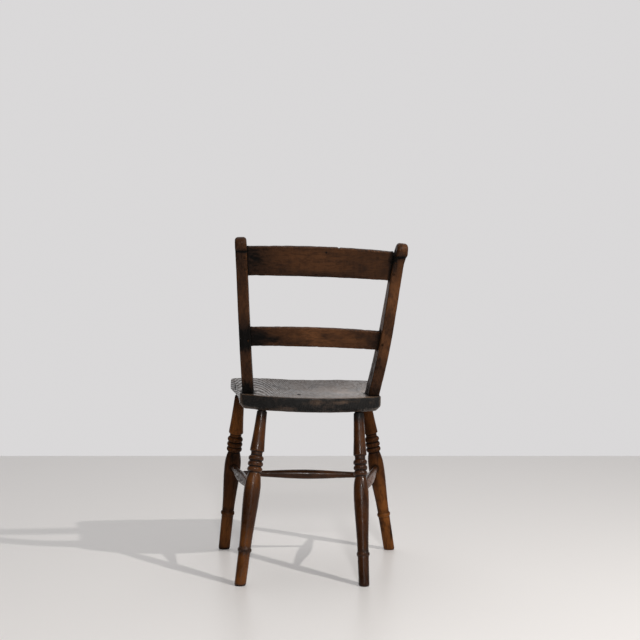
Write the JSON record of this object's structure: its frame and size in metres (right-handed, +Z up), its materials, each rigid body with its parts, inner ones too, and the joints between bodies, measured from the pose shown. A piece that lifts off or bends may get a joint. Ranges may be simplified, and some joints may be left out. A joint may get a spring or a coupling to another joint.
{
  "type": "wooden kitchen chair",
  "caption": "Dark-stained country kitchen chair with a saddled plank seat, scroll-topped raked back posts, bowed back rails, turned legs and an H-stretcher.",
  "frame": {"origin": "on the floor, under the centre of the chair's overall box", "axes": "+Z up; the sitter faces -Y, so the back is towards +Y; the sitter's left is +X"},
  "size_m": [0.4776, 0.4824, 0.8513],
  "materials": {
    "seat_elm": "dark stained elm, worn satin varnish and wax",
    "back_wood": "dark stained beech, worn satin varnish",
    "turned_wood": "red-brown stained beech, glossy worn varnish",
    "peg_wood": "dark end grain, dull"
  },
  "bodies": {
    "root": {"seat": "seat_elm", "back_post_left": "back_wood", "back_post_right": "back_wood", "top_rail": "back_wood", "lower_rail": "back_wood", "leg_front_left": "turned_wood", "leg_front_right": "turned_wood", "leg_rear_left": "turned_wood", "leg_rear_right": "turned_wood", "side_stretcher_left": "turned_wood", "side_stretcher_right": "turned_wood", "cross_stretcher": "turned_wood", "rail_pegs": "peg_wood", "post_wedges": "peg_wood"}
  },
  "joints": []
}
